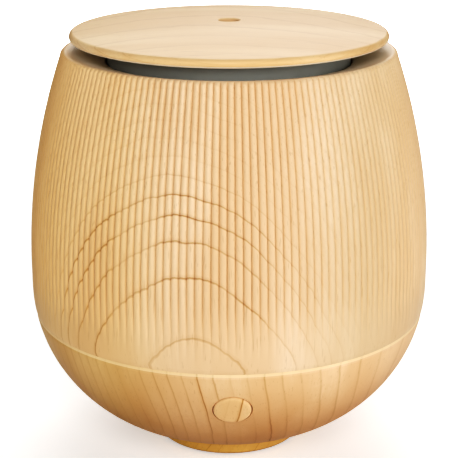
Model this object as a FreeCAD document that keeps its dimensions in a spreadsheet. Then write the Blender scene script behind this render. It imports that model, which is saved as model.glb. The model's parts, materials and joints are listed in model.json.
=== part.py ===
import FreeCAD, Part
import math
import os
from collections import namedtuple
from types import SimpleNamespace

import Sketcher
from FreeCAD import Placement, Rotation, Vector

# Essential oil diffuser: a wooden bowl and reeded cover around an ultrasonic water tank.
# Millimetres, +Z up.  The origin is the centre of the plane that the rubber feet stand on.
# The push button faces -Y and the power inlet faces +Y.

DIMENSIONS = {
    # Outer form: a bowl arc, a short straight belly and a long shoulder arc.
    "belly_radius": 65.0,
    "bowl_arc": 50.0,
    "bowl_arc_level": 55.4,
    "shoulder_arc": 206.0,
    "shoulder_level": 61.8,
    "wall": 3.4,
    "seam_level": 46.3,
    "body_gap": 0.3,
    # Rim and dish of the cover.
    "rim_level": 131.45,
    "rim_round": 2.2,
    "mouth_radius": 39.15,
    "mouth_level": 127.4,
    "mouth_underside": 121.5,
    # Foot.
    "foot_lift": 0.8,
    "foot_radius": 24.3,
    "foot_flare": 25.9,
    "foot_level": 6.6,
    "foot_opening": 17.5,
    "foot_plate": 2.0,
    "pad_radius": 3.8,
    "pad_circle": 18.2,
    "foot_screw_circle": 21.0,
    # Chassis and fan.
    "chassis_level": 10.2,
    "chassis_plate": 2.0,
    "leg_circle": 21.5,
    "leg_radius": 2.8,
    "fan_side": 30.0,
    "fan_depth": 8.0,
    "fan_level": 12.4,
    "fan_bore": 14.0,
    "fan_screw_offset": 12.0,
    "fan_hub_radius": 6.6,
    "shaft_radius": 1.0,
    # Water tank.
    "tank_floor": 34.0,
    "tank_rim": 92.0,
    "tank_foot_radius": 45.0,
    "tank_rim_radius": 52.0,
    "tank_wall": 2.0,
    "flange_level": 44.5,
    "flange_radius": 60.5,
    "gasket": 1.2,
    "spigot_radius": 60.2,
    "spigot_level": 50.3,
    "duct_offset": 34.0,
    "duct_radius": 6.5,
    "duct_level": 86.0,
    # Transducer.
    "well_radius": 8.0,
    "disc_radius": 10.0,
    "disc_level": 32.5,
    "disc_thickness": 0.6,
    "clamp_level": 30.0,
    "clamp_radius": 18.0,
    "clamp_screw_circle": 16.2,
    # Main board.
    "board_length": 44.0,
    "board_width": 22.0,
    "board_thickness": 1.6,
    "board_level": 26.4,
    "board_front": 19.0,
    # Push button and its switch, measured along the button's own axis.
    "button_level": 32.95,
    "button_radius": 5.8,
    "button_clearance": 0.25,
    # Power inlet.
    "jack_level": 36.8,
    "jack_face": 58.2,
    "jack_boss_back": 54.5,
    "jack_barrel": 4.0,
    # Mist liner in the cover.
    "liner_foot": 88.0,
    "liner_radius": 48.5,
    "liner_flange": 46.5,
    "liner_screw_circle": 44.3,
    # Lid.
    "lid_radius": 50.5,
    "lid_underside": 134.4,
    "lid_edge": 2.9,
    "lid_crown": 405.0,
    "lid_top": 140.2,
    "vent_radius": 3.3,
    "collar_radius": 38.7,
    "collar_wall": 2.0,
    "collar_foot": 121.6,
    "lid_screw_circle": 25.0,
}

doc = FreeCAD.newDocument("essential_oil_diffuser")
nodes = []


# ---------------------------------------------------------------- sizes


class Size:
    """A length that carries its value and the spreadsheet formula it comes from."""

    def __init__(self, value, formula):
        self.value = value
        self.formula = formula

    def __add__(self, other):
        other = size(other)
        return Size(self.value + other.value, f"({self.formula} + {other.formula})")

    def __sub__(self, other):
        other = size(other)
        return Size(self.value - other.value, f"({self.formula} - {other.formula})")

    def __mul__(self, other):
        other = size(other)
        return Size(self.value * other.value, f"({self.formula} * {other.formula})")

    def __truediv__(self, other):
        other = size(other)
        return Size(self.value / other.value, f"({self.formula} / {other.formula})")

    def __neg__(self):
        return Size(-self.value, f"(0 - {self.formula})")


def size(number):
    """A plain number as a Size."""
    if isinstance(number, Size):
        return number
    return Size(float(number), f"{float(number):.6f}")


def root(area):
    """The square root of a Size."""
    return Size(math.sqrt(area.value), f"sqrt({area.formula})")


def make_sheet():
    """Write the driving dimensions to a spreadsheet and hand them back as Sizes."""
    sheet = doc.addObject("Spreadsheet::Sheet", "dims")
    for row, (alias, value) in enumerate(DIMENSIONS.items(), start=1):
        sheet.set(f"A{row}", alias.replace("_", " "))
        sheet.set(f"B{row}", str(value))
        sheet.setAlias(f"B{row}", alias)
    doc.recompute()
    return SimpleNamespace(**{alias: Size(value, f"dims.{alias}") for alias, value in DIMENSIONS.items()})


d = make_sheet()


def bowl_radius(level, inset=0.0):
    """Radius of the bowl arc, or of a surface inset from it, at a level."""
    arc = d.bowl_arc - inset
    rise = d.bowl_arc_level - level
    return d.belly_radius - d.bowl_arc + root(arc * arc - rise * rise)


def bowl_level(radius, inset=0.0):
    """Level at which the lower half of the bowl arc reaches a radius."""
    arc = d.bowl_arc - inset
    reach = radius - d.belly_radius + d.bowl_arc
    return d.bowl_arc_level - root(arc * arc - reach * reach)


def shoulder_radius(level, inset=0.0):
    """Radius of the shoulder arc, or of a surface inset from it, at a level."""
    arc = d.shoulder_arc - inset
    rise = size(level) - d.shoulder_level
    return d.belly_radius - d.shoulder_arc + root(arc * arc - rise * rise)


def polar(radius, degrees):
    """X and Y of a point on a circle about Z."""
    angle = math.radians(degrees)
    return size(radius) * math.cos(angle), size(radius) * math.sin(angle)


# ---------------------------------------------------------------- building blocks


def keep(obj, label):
    """Register a finished sub-part under its node name."""
    obj.Label = label
    nodes.append(obj)
    return obj


def bind(obj, **sizes):
    """Bind properties of an object to sheet formulas."""
    for name, value in sizes.items():
        obj.setExpression(name, size(value).formula)
    return obj


def move(obj, base=(0, 0, 0), rotation=Rotation()):
    """Place an object, with its position bound to the sheet."""
    base = [size(number) for number in base]
    obj.Placement = Placement(Vector(*[number.value for number in base]), rotation)
    for axis, number in zip("xyz", base):
        obj.setExpression(f"Placement.Base.{axis}", number.formula)
    return obj


def cylinder(name, radius, height, base=(0, 0, 0), rotation=Rotation()):
    obj = doc.addObject("Part::Cylinder", name)
    return move(bind(obj, Radius=radius, Height=height), base, rotation)


def box(name, length, width, height, base=(0, 0, 0), rotation=Rotation()):
    obj = doc.addObject("Part::Box", name)
    return move(bind(obj, Length=length, Width=width, Height=height), base, rotation)


def joined(name, pieces):
    obj = doc.addObject("Part::MultiFuse", name)
    obj.Shapes = pieces
    return obj


def cut(name, base, tools):
    obj = doc.addObject("Part::Cut", name)
    obj.Base = base
    obj.Tool = tools[0] if len(tools) == 1 else joined(name + "_tools", tools)
    return obj


def group(name, pieces):
    """Identical separate solids that share one node."""
    obj = doc.addObject("Part::Compound", name)
    obj.Links = pieces
    return obj


def arc_edge(start, end, radius):
    """The shorter arc from start to end, counter-clockwise if the radius is positive."""
    chord = end - start
    middle = (start + end) * 0.5
    sag = math.sqrt(radius * radius - chord.Length * chord.Length / 4)
    left = Vector(-chord.y, chord.x, 0).normalize()
    centre = middle + left * math.copysign(sag, radius)
    first, last = (start, end) if radius > 0 else (end, start)
    angles = [math.atan2(point.y - centre.y, point.x - centre.x) for point in (first, last)]
    return Part.ArcOfCircle(Part.Circle(centre, Vector(0, 0, 1), abs(radius)), *angles)


def turned(name, outline):
    """A body revolved about Z from its (r, z) corners.

    A third entry makes the edge to the next corner an arc of that radius: positive turns
    counter-clockwise, negative clockwise.
    """
    body = doc.addObject("PartDesign::Body", name)
    plane = next(f for f in body.Origin.OriginFeatures if f.Role == "XZ_Plane")
    sketch = body.newObject("Sketcher::SketchObject", name + "_outline")
    sketch.AttachmentSupport = [(plane, "")]
    sketch.MapMode = "FlatFace"

    corners = [[size(number) for number in corner] for corner in outline]
    points = [Vector(corner[0].value, corner[1].value, 0) for corner in corners]
    ends = []
    for index, corner in enumerate(corners):
        start, end = points[index], points[(index + 1) % len(points)]
        if len(corner) == 3:
            sketch.addGeometry(arc_edge(start, end, corner[2].value))
            ends.append((1, 2) if corner[2].value > 0 else (2, 1))
        else:
            sketch.addGeometry(Part.LineSegment(start, end))
            ends.append((1, 2))

    def constrain(formula, *constraint):
        number = sketch.addConstraint(Sketcher.Constraint(*constraint))
        sketch.setExpression(f"Constraints[{number}]", formula)

    for index, corner in enumerate(corners):
        after = (index + 1) % len(corners)
        start = ends[index][0]
        joint = Sketcher.Constraint("Coincident", index, ends[index][1], after, ends[after][0])
        sketch.addConstraint(joint)
        if corner[0].value == 0:
            sketch.addConstraint(Sketcher.Constraint("PointOnObject", index, start, -2))
        else:
            constrain(corner[0].formula, "DistanceX", -1, 1, index, start, corner[0].value)
        constrain(corner[1].formula, "DistanceY", -1, 1, index, start, corner[1].value)
        if len(corner) == 3:
            radius = corner[2] if corner[2].value > 0 else -corner[2]
            constrain(radius.formula, "Radius", index, radius.value)

    turn = body.newObject("PartDesign::Revolution", name + "_turn")
    turn.Profile = sketch
    turn.ReferenceAxis = (sketch, ["V_Axis"])
    turn.Angle = 360
    sketch.Visibility = False
    return body


# Thread-forming pan-head screws.
Screw = namedtuple("Screw", "head_radius head_height shank_radius length")
FOOT_SCREW = Screw(2.3, 1.4, 1.2, 12.6)
LEG_SCREW = Screw(2.2, 1.2, 1.1, 8.0)
CLAMP_SCREW = Screw(1.7, 1.2, 0.9, 4.4)
BOARD_SCREW = Screw(1.9, 1.2, 0.95, 6.0)
SWITCH_SCREW = Screw(1.8, 1.2, 0.9, 5.0)
FAN_SCREW = Screw(2.2, 1.2, 1.2, 9.4)
LINER_SCREW = Screw(1.8, 1.2, 1.0, 5.4)
LID_SCREW = Screw(2.0, 1.2, 1.0, 4.6)
PILOT_CLEARANCE = 0.05
HOLE_CLEARANCE = 0.2
RECESS_LENGTH = 1.3
RECESS_WIDTH = 0.24


def screw(name, kind, base, rotation=Rotation()):
    """A cross-recessed screw: base is under its head, and its shank runs along local +Z."""
    inward = rotation.multVec(Vector(0, 0, 1))
    under = [size(number) for number in base]
    top = [number - component * kind.head_height for number, component in zip(under, inward)]
    head = cylinder(name + "_head", kind.head_radius, kind.head_height, top, rotation)
    shank = cylinder(name + "_shank", kind.shank_radius, kind.length, under, rotation)
    solid = joined(name + "_blank", [head, shank])
    slot_length = kind.head_radius * RECESS_LENGTH
    slot_width = kind.head_radius * RECESS_WIDTH
    slots = []
    for turn in (0, 90):
        spin = rotation * Rotation(Vector(0, 0, 1), turn)
        corner = spin.multVec(Vector(-slot_length / 2, -slot_width / 2, 0))
        start = [number + component for number, component in zip(top, corner)]
        slot = box(f"{name}_slot_{turn}", slot_length, slot_width, kind.head_height / 2, start, spin)
        slots.append(slot)
    return cut(name, solid, slots)


def pilot(name, kind, depth, base, rotation=Rotation()):
    """A hole that a screw's thread bites into."""
    return cylinder(name, kind.shank_radius + PILOT_CLEARANCE, depth, base, rotation)


def clearance(name, kind, depth, base, rotation=Rotation()):
    """A hole that a screw's shank passes through freely."""
    return cylinder(name, kind.shank_radius + HOLE_CLEARANCE, depth, base, rotation)


def head_pocket(name, kind, depth, base):
    """A pocket that a screw's head sinks into."""
    return cylinder(name, kind.head_radius + HOLE_CLEARANCE, depth, base)


def lead(name, corners, radius):
    """A wire: straight runs joined by tangent arcs, swept as a round tube."""
    points = [Vector(*[size(number).value for number in corner]) for corner in corners]
    edges = []
    start = points[0]
    for before, corner, after in zip(points, points[1:], points[2:]):
        back = (before - corner).normalize()
        ahead = (after - corner).normalize()
        setback = 0.45 * min((before - corner).Length, (after - corner).Length)
        entry, leave = corner + back * setback, corner + ahead * setback
        half_turn = (math.pi - back.getAngle(ahead)) / 2
        bend = setback / math.tan(half_turn)
        centre = corner + (back + ahead).normalize() * math.hypot(setback, bend)
        middle = centre + (corner - centre).normalize() * bend
        edges.append(Part.LineSegment(start, entry).toShape())
        edges.append(Part.Arc(entry, middle, leave).toShape())
        start = leave
    edges.append(Part.LineSegment(start, points[-1]).toShape())
    path = Part.Wire(edges)
    section = Part.Wire(Part.makeCircle(radius, points[0], points[1] - points[0]))
    tube = doc.addObject("Part::Feature", name)
    tube.Shape = path.makePipeShell([section], True, True)
    expected = math.pi * radius * radius * path.Length
    if abs(tube.Shape.Volume - expected) > 0.02 * expected:
        raise RuntimeError(f"{name}: swept volume {tube.Shape.Volume:.2f}, expected {expected:.2f}")
    return tube


# ---------------------------------------------------------------- shared frames

DOWN = Rotation(Vector(1, 0, 0), 180)
BACKWARD = Rotation(Vector(1, 0, 0), -90)

PAD_ANGLES = (30, 150, 270)
FOOT_SCREW_ANGLES = (90, 210, 330)
LEG_ANGLES = (30, 150, 270)
CLAMP_ANGLES = (30, 150, 270)
LINER_ANGLES = (90, 210, 330)
LID_SCREW_ANGLES = (90, 210, 330)

# The button's axis runs from the centre of the bowl arc out through the front of the bowl.
BUTTON_SINE = ((d.bowl_arc_level - d.button_level) / d.bowl_arc).value
BUTTON_ANGLE = math.degrees(math.asin(BUTTON_SINE))
BUTTON_OUT = Rotation(Vector(1, 0, 0), 90 + BUTTON_ANGLE)
BUTTON_IN = Rotation(Vector(1, 0, 0), BUTTON_ANGLE - 90)


def on_button_axis(distance, across=0.0, up=0.0):
    """A point given by its distance from the bowl arc's centre, along and across the button's axis."""
    cosine = math.cos(math.radians(BUTTON_ANGLE))
    outward = size(distance)
    y = -(d.belly_radius - d.bowl_arc) - outward * cosine - size(up) * BUTTON_SINE
    z = d.bowl_arc_level - outward * BUTTON_SINE + size(up) * cosine
    return size(across), y, z


# ---------------------------------------------------------------- base: bowl and foot


def make_bowl_blank():
    """The solid outer form of the bowl, used to trim what lies flush with it."""
    return turned("bowl_blank", [
        (0, d.foot_level),
        (d.foot_flare, d.foot_level),
        (d.foot_flare, bowl_level(d.foot_flare), d.bowl_arc),
        (bowl_radius(d.seam_level), d.seam_level),
        (0, d.seam_level),
    ])


# Distances along the button's axis are measured from the centre of the bowl arc.
SWITCH_BOSS_OFFSET = 10.2
SWITCH_BOARD_FACE = 38.5
BUTTON_BORE_START = 40.0
BUTTON_FLANGE = 0.9
BUTTON_FLANGE_BACK = 44.4
JACK_FLANGE_RADIUS = 5.8
JACK_BOSS_RADIUS = 6.4


def make_base_bowl(blank):
    """The wooden bowl: lip, rebate for the tank flange, button bore, inlet facet and screw holes."""
    lip_height, lip_inset = 1.5, 0.45
    rebate_radius = d.flange_radius + 0.2
    ledge_level = d.flange_level - d.gasket
    inner_top = d.flange_level - 6.1
    floor_radius = d.foot_flare + 0.1
    inner_arc = d.bowl_arc - d.wall
    bowl = turned("bowl_turned", [
        (d.foot_opening, d.foot_level),
        (d.foot_flare, d.foot_level),
        (d.foot_flare, bowl_level(d.foot_flare), d.bowl_arc),
        (bowl_radius(d.seam_level - lip_height), d.seam_level - lip_height),
        (bowl_radius(d.seam_level) - lip_inset, d.seam_level),
        (rebate_radius, d.seam_level),
        (rebate_radius, ledge_level),
        (d.flange_radius - 3.0, ledge_level),
        (bowl_radius(inner_top, d.wall), inner_top, -inner_arc),
        (floor_radius, bowl_level(floor_radius, d.wall)),
        (d.foot_opening, bowl_level(floor_radius, d.wall)),
    ])
    jack_boss = doc.addObject("Part::Common", "jack_boss")
    jack_boss.Base = blank
    boss_start = (0, d.jack_boss_back, d.jack_level)
    jack_boss.Tool = cylinder("jack_boss_rod", JACK_BOSS_RADIUS, 10.0, boss_start, BACKWARD)
    switch_bosses = [
        cylinder(f"switch_boss_{side}", 2.0, 8.4,
                 on_button_axis(SWITCH_BOARD_FACE, across=side * SWITCH_BOSS_OFFSET), BUTTON_OUT)
        for side in (-1, 1)
    ]
    solid = joined("bowl_with_bosses", [bowl, jack_boss, *switch_bosses])

    bore_radius = d.button_radius + d.button_clearance
    pocket_radius = d.button_radius + BUTTON_FLANGE + 0.4
    bore_start = on_button_axis(BUTTON_BORE_START)
    facet_radius = JACK_FLANGE_RADIUS + 0.3
    facet_start = (0, d.jack_face, d.jack_level)
    hole_start = (0, d.jack_boss_back - 5, d.jack_level)
    tools = [
        cylinder("button_bore", bore_radius, 20.0, bore_start, BUTTON_OUT),
        cylinder("button_pocket", pocket_radius, 6.0, bore_start, BUTTON_OUT),
        cylinder("jack_facet", facet_radius, 10.0, facet_start, BACKWARD),
        cylinder("jack_hole", d.jack_barrel + 0.1, 20.0, hole_start, BACKWARD),
    ]
    for angle in FOOT_SCREW_ANGLES:
        x, y = polar(d.foot_screw_circle, angle)
        tools.append(clearance(f"bowl_screw_hole_{angle}", FOOT_SCREW, 8.0, (x, y, d.foot_level - 1)))
    for side in (-1, 1):
        start = on_button_axis(SWITCH_BOARD_FACE - 1, across=side * SWITCH_BOSS_OFFSET)
        tools.append(pilot(f"switch_pilot_{side}", SWITCH_SCREW, 6.0, start, BUTTON_OUT))
    keep(cut("base_bowl", solid, tools), "base_bowl")


def make_foot():
    """Foot cover with its intake grille, the rubber pads under it and the screws through it."""
    spigot = d.foot_opening - 0.2
    chamfer = 0.6
    cover = turned("foot_turned", [
        (0, d.foot_lift),
        (d.foot_radius - chamfer, d.foot_lift),
        (d.foot_radius, d.foot_lift + chamfer),
        (d.foot_flare, d.foot_level),
        (spigot, d.foot_level),
        (spigot, d.chassis_level - 0.6),
        (spigot - 2.0, d.chassis_level - 0.6),
        (spigot - 2.0, d.foot_lift + d.foot_plate),
        (0, d.foot_lift + d.foot_plate),
    ])
    tools = []
    slot_width, slot_pitch, grille_radius = 2.0, 3.6, 13.0
    for index in range(-3, 4):
        x = index * slot_pitch
        half = math.sqrt(grille_radius ** 2 - x ** 2)
        tools.append(box(f"grille_slot_{index + 4}", slot_width, 2 * half, 4.0,
                         (x - slot_width / 2, -half, d.foot_lift - 1)))
    pads = []
    pad_height = d.foot_lift * 2
    for angle in PAD_ANGLES:
        x, y = polar(d.pad_circle, angle)
        tools.append(cylinder(f"pad_pocket_{angle}", d.pad_radius + 0.1, pad_height, (x, y, 0)))
        pads.append(cylinder(f"pad_{angle}", d.pad_radius, pad_height, (x, y, 0)))
    screws = []
    seat = d.foot_lift + 1.8
    for angle in FOOT_SCREW_ANGLES:
        x, y = polar(d.foot_screw_circle, angle)
        tools.append(head_pocket(f"foot_head_pocket_{angle}", FOOT_SCREW, seat, (x, y, 0)))
        tools.append(clearance(f"foot_screw_hole_{angle}", FOOT_SCREW, 8.0, (x, y, 1.0)))
        screws.append(screw(f"foot_screw_{angle}", FOOT_SCREW, (x, y, seat)))
    keep(cut("foot_cover", cover, tools), "foot_cover")
    keep(group("rubber_feet", pads), "rubber_feet")
    keep(group("foot_screws", screws), "foot_screws")


def make_chassis():
    """Plastic plate inside the bowl: it clamps the foot, carries the fan and holds the tank legs."""
    top = d.chassis_level + d.chassis_plate
    under = d.chassis_level - 1
    seat = d.chassis_level + 1.3
    plate = cylinder("chassis_plate_disc", d.foot_flare - 0.3, d.chassis_plate, (0, 0, d.chassis_level))
    bosses = []
    tools = [cylinder("chassis_airway", d.fan_bore - 0.5, 6.0, (0, 0, d.chassis_level - 2))]
    screws = []
    for angle in FOOT_SCREW_ANGLES:
        x, y = polar(d.foot_screw_circle, angle)
        bosses.append(cylinder(f"foot_boss_{angle}", 2.7, 4.2, (x, y, top)))
        tools.append(pilot(f"foot_pilot_{angle}", FOOT_SCREW, 8.0, (x, y, under)))
    for angle in LEG_ANGLES:
        x, y = polar(d.leg_circle, angle)
        tools.append(head_pocket(f"leg_head_pocket_{angle}", LEG_SCREW, seat - under, (x, y, under)))
        tools.append(clearance(f"leg_hole_{angle}", LEG_SCREW, 6.0, (x, y, under)))
        screws.append(screw(f"leg_screw_{angle}", LEG_SCREW, (x, y, seat)))
    for x_side in (-1, 1):
        for y_side in (-1, 1):
            x, y = d.fan_screw_offset * x_side, d.fan_screw_offset * y_side
            tools.append(pilot(f"fan_pilot_{x_side}_{y_side}", FAN_SCREW, 4.0, (x, y, under)))
    blank = joined("chassis_blank", [plate, *bosses])
    keep(cut("chassis", blank, tools), "chassis")
    keep(group("chassis_screws", screws), "chassis_screws")


# ---------------------------------------------------------------- base: water tank

CLAMP_PLATE = 1.6


def tank_outside(level):
    """Outer radius of the tank's tapered wall."""
    slope = (d.tank_rim_radius - d.tank_foot_radius) / (d.tank_rim - d.tank_floor)
    return d.tank_foot_radius + slope * (size(level) - d.tank_floor)


def board_holes():
    """X and Y of the main board's four screw holes."""
    inset = 3.0
    half = d.board_length / 2 - inset
    for side in (-1, 1):
        for y in (d.board_front + inset, d.board_front + d.board_width - inset):
            yield half * side, y


def make_water_tank():
    """Tank cup with its flange and locating spigot, legs, board posts, clamp posts and air duct."""
    floor_top = d.tank_floor + d.tank_wall
    cup = turned("tank_turned", [
        (d.well_radius, d.tank_floor),
        (d.tank_foot_radius, d.tank_floor),
        (tank_outside(d.flange_level), d.flange_level),
        (d.flange_radius, d.flange_level),
        (d.flange_radius, d.seam_level),
        (d.spigot_radius, d.seam_level),
        (d.spigot_radius, d.spigot_level - 0.8),
        (d.spigot_radius - 0.8, d.spigot_level),
        (d.spigot_radius - 1.8, d.spigot_level),
        (d.spigot_radius - 1.8, d.seam_level),
        (tank_outside(d.seam_level), d.seam_level),
        (d.tank_rim_radius, d.tank_rim),
        (d.tank_rim_radius - d.tank_wall, d.tank_rim),
        (d.tank_foot_radius - d.tank_wall, floor_top),
        (d.well_radius + 2.5, floor_top),
        (d.well_radius, d.tank_floor + 0.8),
    ])
    leg_foot = d.chassis_level + d.chassis_plate
    duct_length = d.duct_level - d.tank_floor
    post_top = d.tank_floor + 1
    pieces = [cup, cylinder("duct_tube", d.duct_radius, duct_length, (d.duct_offset, 0, d.tank_floor))]
    duct_start = (d.duct_offset, 0, d.tank_floor - 1)
    tools = [cylinder("duct_bore", d.duct_radius - 1.5, d.duct_level, duct_start)]
    for angle in LEG_ANGLES:
        x, y = polar(d.leg_circle, angle)
        pieces.append(cylinder(f"tank_leg_{angle}", d.leg_radius, post_top - leg_foot, (x, y, leg_foot)))
        tools.append(pilot(f"leg_pilot_{angle}", LEG_SCREW, 9.0, (x, y, leg_foot - 1)))
    post_foot = d.board_level + d.board_thickness
    for index, (x, y) in enumerate(board_holes()):
        pieces.append(cylinder(f"board_post_{index}", 2.4, post_top - post_foot, (x, y, post_foot)))
        tools.append(pilot(f"board_pilot_{index}", BOARD_SCREW, 5.5, (x, y, post_foot - 0.5)))
    clamp_top = d.clamp_level + CLAMP_PLATE
    for angle in CLAMP_ANGLES:
        x, y = polar(d.clamp_screw_circle, angle)
        pieces.append(cylinder(f"clamp_post_{angle}", 1.9, post_top - clamp_top, (x, y, clamp_top)))
        tools.append(pilot(f"clamp_pilot_{angle}", CLAMP_SCREW, 3.6, (x, y, clamp_top - 0.5)))
    keep(cut("water_tank", joined("tank_blank", pieces), tools), "water_tank")


def make_tank_fittings():
    """Seal under the tank flange and the hooded cap on the air duct."""
    keep(turned("tank_seal", [
        (d.flange_radius - 2.8, d.flange_level - d.gasket),
        (d.flange_radius - 0.4, d.flange_level - d.gasket),
        (d.flange_radius - 0.4, d.flange_level),
        (d.flange_radius - 2.8, d.flange_level),
    ]), "tank_seal")
    cap_radius = d.duct_radius + 2.0
    hood = turned("duct_hood", [
        (0, d.duct_level + 2),
        (cap_radius - 0.9, d.duct_level + 2),
        (cap_radius - 0.9, d.duct_level - 1),
        (cap_radius, d.duct_level - 1),
        (cap_radius, d.duct_level + 2.5, 1.0),
        (cap_radius - 1, d.duct_level + 3.5),
        (0, d.duct_level + 3.5),
    ])
    ribs = [
        box(f"duct_rib_{turn}", cap_radius - 3.5, 1.2, 2.5,
            (3.0 * math.cos(math.radians(turn)), 3.0 * math.sin(math.radians(turn)), d.duct_level),
            Rotation(Vector(0, 0, 1), turn))
        for turn in (0, 120, 240)
    ]
    cap = joined("duct_cap", [hood, *ribs])
    move(cap, (d.duct_offset, 0, 0))
    keep(cap, "duct_cap")


def make_transducer():
    """Ultrasonic disc under the tank well, its grooved seal, and the clamp ring with its screws."""
    inner = d.well_radius + 0.2
    groove = d.disc_radius + 0.05
    seal_radius = d.disc_radius + 2.2
    clamp_top = d.clamp_level + CLAMP_PLATE
    disc_top = d.disc_level + d.disc_thickness
    disc = cylinder("transducer_disc", d.disc_radius, d.disc_thickness, (0, 0, d.disc_level))
    keep(disc, "transducer_disc")
    keep(turned("transducer_seal", [
        (inner, clamp_top),
        (seal_radius, clamp_top),
        (seal_radius, d.tank_floor),
        (inner, d.tank_floor),
        (inner, disc_top),
        (groove, disc_top),
        (groove, d.disc_level),
        (inner, d.disc_level),
    ]), "transducer_seal")
    ring = turned("clamp_turned", [
        (inner, d.clamp_level),
        (d.clamp_radius, d.clamp_level),
        (d.clamp_radius, clamp_top),
        (seal_radius + 1.8, clamp_top),
        (seal_radius + 1.8, d.tank_floor - 0.4),
        (seal_radius + 0.2, d.tank_floor - 0.4),
        (seal_radius + 0.2, clamp_top),
        (inner, clamp_top),
    ])
    holes, screws = [], []
    for angle in CLAMP_ANGLES:
        x, y = polar(d.clamp_screw_circle, angle)
        holes.append(clearance(f"clamp_hole_{angle}", CLAMP_SCREW, 4.0, (x, y, d.clamp_level - 1)))
        screws.append(screw(f"clamp_screw_{angle}", CLAMP_SCREW, (x, y, d.clamp_level)))
    keep(cut("transducer_clamp", ring, holes), "transducer_clamp")
    keep(group("clamp_screws", screws), "clamp_screws")


# ---------------------------------------------------------------- base: electronics


def make_electronics():
    """Main board hung under the tank, with the parts that drive the transducer and the fan."""
    under = d.board_level
    top = d.board_level + d.board_thickness
    slab = box("board_slab", d.board_length, d.board_width, d.board_thickness,
               (-d.board_length / 2, d.board_front, under))
    holes, screws = [], []
    for index, (x, y) in enumerate(board_holes()):
        holes.append(clearance(f"board_hole_{index}", BOARD_SCREW, 4.0, (x, y, under - 1)))
        screws.append(screw(f"board_screw_{index}", BOARD_SCREW, (x, y, under)))
    keep(cut("main_board", slab, holes), "main_board")
    keep(group("board_screws", screws), "board_screws")

    sockets = []
    for index, x in enumerate((-12, 0, 12)):
        shell = box(f"socket_shell_{index}", 7.0, 5.0, 4.0, (x - 3.5, d.board_front + 0.8, top))
        slot = box(f"socket_slot_{index}", 5.6, 3.6, 3.2, (x - 2.8, d.board_front + 1.5, top + 0.8))
        sockets.append(cut(f"socket_{index}", shell, [slot]))
    keep(group("board_sockets", sockets), "board_sockets")

    keep(box("control_chip", 9.0, 7.0, 1.8, (-14, d.board_front + 9, top)), "control_chip")
    cans = [
        cylinder(f"can_{index}", 2.6, 5.2, (x, d.board_front + 12.5, top))
        for index, x in enumerate((2, 9))
    ]
    keep(group("capacitors", cans), "capacitors")

    drum_radius, drum_height, drum_core, cheek = 5.0, 6.4, 2.6, 1.2
    drum_place = (-11, d.board_front + 10, 0)
    core = turned("choke_core", [
        (0, under - drum_height),
        (drum_radius, under - drum_height),
        (drum_radius, under - drum_height + cheek),
        (drum_core, under - drum_height + cheek),
        (drum_core, under - cheek),
        (drum_radius, under - cheek),
        (drum_radius, under),
        (0, under),
    ])
    keep(move(core, drum_place), "choke_core")
    winding = turned("choke_winding", [
        (drum_core + 0.1, under - drum_height + cheek + 0.1),
        (drum_radius - 0.4, under - drum_height + cheek + 0.1),
        (drum_radius - 0.4, under - cheek - 0.1),
        (drum_core + 0.1, under - cheek - 0.1),
    ])
    keep(move(winding, drum_place), "choke_winding")

    sink_x, sink_y, sink_length, sink_height = 3.0, d.board_front + 6, 16.0, 7.0
    fin_count, fin, plate = 5, 1.2, 1.6
    fin_pitch = (sink_length - fin) / (fin_count - 1)
    sink_foot = under - sink_height
    pieces = [box("sink_plate", sink_length, plate, sink_height, (sink_x, sink_y, sink_foot))]
    for index in range(fin_count):
        corner = (sink_x + index * fin_pitch, sink_y + plate, sink_foot)
        pieces.append(box(f"sink_fin_{index}", fin, 4.4, sink_height, corner))
    keep(joined("heat_sink", pieces), "heat_sink")
    case_depth, case_height = 3.0, 6.5
    case_corner = (sink_x + 3, sink_y - case_depth, under - case_height)
    keep(box("driver_transistor", 10.0, case_depth, case_height, case_corner), "driver_transistor")


def make_power_inlet():
    """Panel jack in the back of the bowl, with its centre pin and the nut that holds it."""
    socket_radius, socket_depth, pin_radius = 2.9, 9.0, 1.0
    flange, nut_height, nut_radius = 1.5, 2.0, 6.6
    front = d.jack_face + flange
    barrel_back = d.jack_boss_back - 7.0
    barrel_length = d.jack_face - barrel_back
    rod = cylinder("jack_rod", d.jack_barrel, barrel_length, (0, barrel_back, d.jack_level), BACKWARD)
    rim = cylinder("jack_rim", JACK_FLANGE_RADIUS, flange, (0, d.jack_face, d.jack_level), BACKWARD)
    socket_end = (0, front - socket_depth, d.jack_level)
    bore = cylinder("jack_bore", socket_radius, socket_depth + 1, socket_end, BACKWARD)
    keep(cut("power_jack", joined("jack_blank", [rod, rim]), [bore]), "power_jack")
    keep(cylinder("jack_pin", pin_radius, socket_depth - 1, socket_end, BACKWARD), "jack_pin")
    nut = doc.addObject("Part::Prism", "nut_blank")
    nut.Polygon = 6
    nut_start = d.jack_boss_back - nut_height - 0.1
    move(bind(nut, Circumradius=nut_radius, Height=nut_height), (0, nut_start, d.jack_level), BACKWARD)
    hole_start = (0, nut_start - 1, d.jack_level)
    hole = cylinder("nut_hole", d.jack_barrel + 0.05, nut_height + 2, hole_start, BACKWARD)
    keep(cut("jack_nut", nut, [hole]), "jack_nut")


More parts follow.
